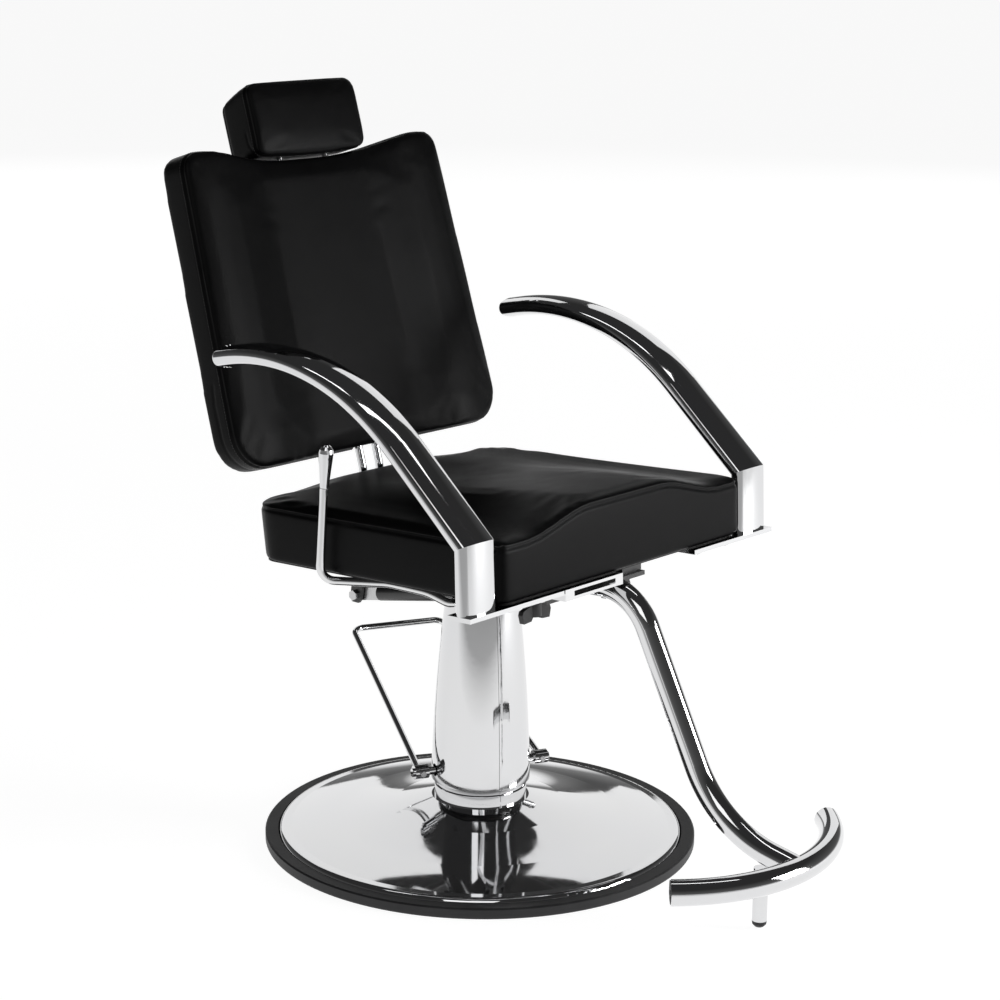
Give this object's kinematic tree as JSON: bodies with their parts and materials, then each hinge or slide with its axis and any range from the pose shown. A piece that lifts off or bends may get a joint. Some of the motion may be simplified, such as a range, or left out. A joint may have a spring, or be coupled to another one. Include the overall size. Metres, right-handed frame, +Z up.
{
  "type": "hydraulic barber chair",
  "caption": "Hydraulic barber chair with black padded seat, reclining back and headrest, chrome loop arms, a curved footrest and a round pump base with a foot bail.",
  "frame": {"origin": "on the floor, at the centre of the round base, on the swivel axis", "axes": "+Z up, the chair faces -Y, the sitter's right side with the recline lever is -X"},
  "size_m": [0.635, 0.9775, 1.0461],
  "materials": {
    "chrome": "polished",
    "polished_steel": "polished",
    "zinc_steel": "satin",
    "black_steel": "satin",
    "black_vinyl": "satin",
    "dark_board": "matte",
    "black_rubber": "matte",
    "black_plastic": "satin"
  },
  "bodies": {
    "base": {"base_plate": "chrome", "base_trim_ring": "black_rubber", "base_collar": "chrome", "cover_seat_ring": "black_steel", "base_bolts": "zinc_steel", "pump_housing": "black_steel", "pump_gland": "black_steel", "column_cover": "chrome"},
    "ram": {"ram": "polished_steel"},
    "seat": {"mount_hub": "black_steel", "seat_frame": "black_steel", "seat_board": "dark_board", "seat_cushion": "black_vinyl", "board_bolts": "zinc_steel", "arm_right": "chrome", "arm_left": "chrome", "arm_right_cap": "chrome", "arm_left_cap": "chrome", "arm_bolts": "zinc_steel", "footrest_strap": "chrome", "hinge_pin": "zinc_steel", "hinge_clips": "zinc_steel", "strut_pin": "zinc_steel"},
    "back": {"back_pivot_tube": "black_steel", "back_crank": "black_steel", "crank_pin": "zinc_steel", "back_bars": "chrome", "back_mount_plate": "black_steel", "back_board": "dark_board", "back_panel": "dark_board", "back_cushion": "black_vinyl", "headrest_guide_right": "zinc_steel", "headrest_guide_left": "zinc_steel"},
    "headrest": {"headrest_cushion": "black_vinyl", "headrest_post_right": "chrome", "headrest_post_left": "chrome"},
    "footrest": {"footrest_tube": "chrome", "footrest_bar": "chrome", "footrest_bar_caps": "black_plastic", "footrest_carriage": "black_steel", "footrest_leg": "chrome", "footrest_foot": "black_rubber"},
    "knob_right": {"wing_knob_right": "black_plastic", "wing_stud_right": "zinc_steel"},
    "knob_left": {"wing_knob_left": "black_plastic", "wing_stud_left": "zinc_steel"},
    "pump_lever": {"pump_pins": "chrome", "pump_collars": "chrome", "pump_set_screws": "zinc_steel", "pump_bail": "chrome"},
    "recline_lever": {"recline_rod": "chrome", "recline_grip": "chrome"},
    "strut_rod": {"gas_rod": "polished_steel", "release_head": "zinc_steel"},
    "strut_cylinder": {"gas_cylinder": "black_steel", "gas_end_block": "zinc_steel"}
  },
  "joints": [
    {"name": "seat_lift", "type": "slide", "parent": "base", "child": "ram", "axis": [0, 0, 1], "range_m": [0, 0.14]},
    {"name": "seat_swivel", "type": "hinge", "parent": "ram", "child": "seat", "pos_m": [0, 0, 0.39], "axis": [0, 0, 1], "continuous": true},
    {"name": "back_recline", "type": "hinge", "parent": "seat", "child": "back", "pos_m": [0, 0.142, 0.402], "axis": [-1, 0, 0], "range_deg": [0, 35]},
    {"name": "headrest_slide", "type": "slide", "parent": "back", "child": "headrest", "axis": [0, 0.2924, 0.9563], "range_m": [0, 0.08]},
    {"name": "footrest_slide", "type": "slide", "parent": "seat", "child": "footrest", "axis": [0, -0.9988, 0.0489], "range_m": [0, 0.04]},
    {"name": "knob_turn_right", "type": "hinge", "parent": "seat", "child": "knob_right", "pos_m": [-0.085, -0.16705, 0.40052], "axis": [0, 0.0489, 0.9988], "continuous": true},
    {"name": "knob_turn_left", "type": "hinge", "parent": "seat", "child": "knob_left", "pos_m": [0.085, -0.16705, 0.40052], "axis": [0, 0.0489, 0.9988], "continuous": true},
    {"name": "pump_pedal", "type": "hinge", "parent": "base", "child": "pump_lever", "pos_m": [0, 0, 0.105], "axis": [-0.8988, 0.4384, 0], "range_deg": [0, 25], "stiffness_Nm_per_rad": 6, "springref_deg": -28.65},
    {"name": "recline_release", "type": "hinge", "parent": "seat", "child": "recline_lever", "pos_m": [-0.12, -0.072, 0.386], "axis": [-1, 0, 0], "range_deg": [0, 8], "stiffness_Nm_per_rad": 4, "springref_deg": -22.92},
    {"name": "gas_spring_swing", "type": "hinge", "parent": "seat", "child": "strut_rod", "pos_m": [-0.085, -0.08467, 0.39038], "axis": [-1, 0, 0], "range_deg": [0, 1.5]},
    {"name": "gas_rod_slide", "type": "slide", "parent": "strut_rod", "child": "strut_cylinder", "axis": [0, -0.982, 0.1891], "range_m": [0, 0.036]}
  ],
  "couplings": [
    {"joint": "gas_rod_slide", "follows": "back_recline", "m_per_rad": 0.05658},
    {"joint": "gas_spring_swing", "follows": "back_recline", "ratio": 0.0253}
  ]
}
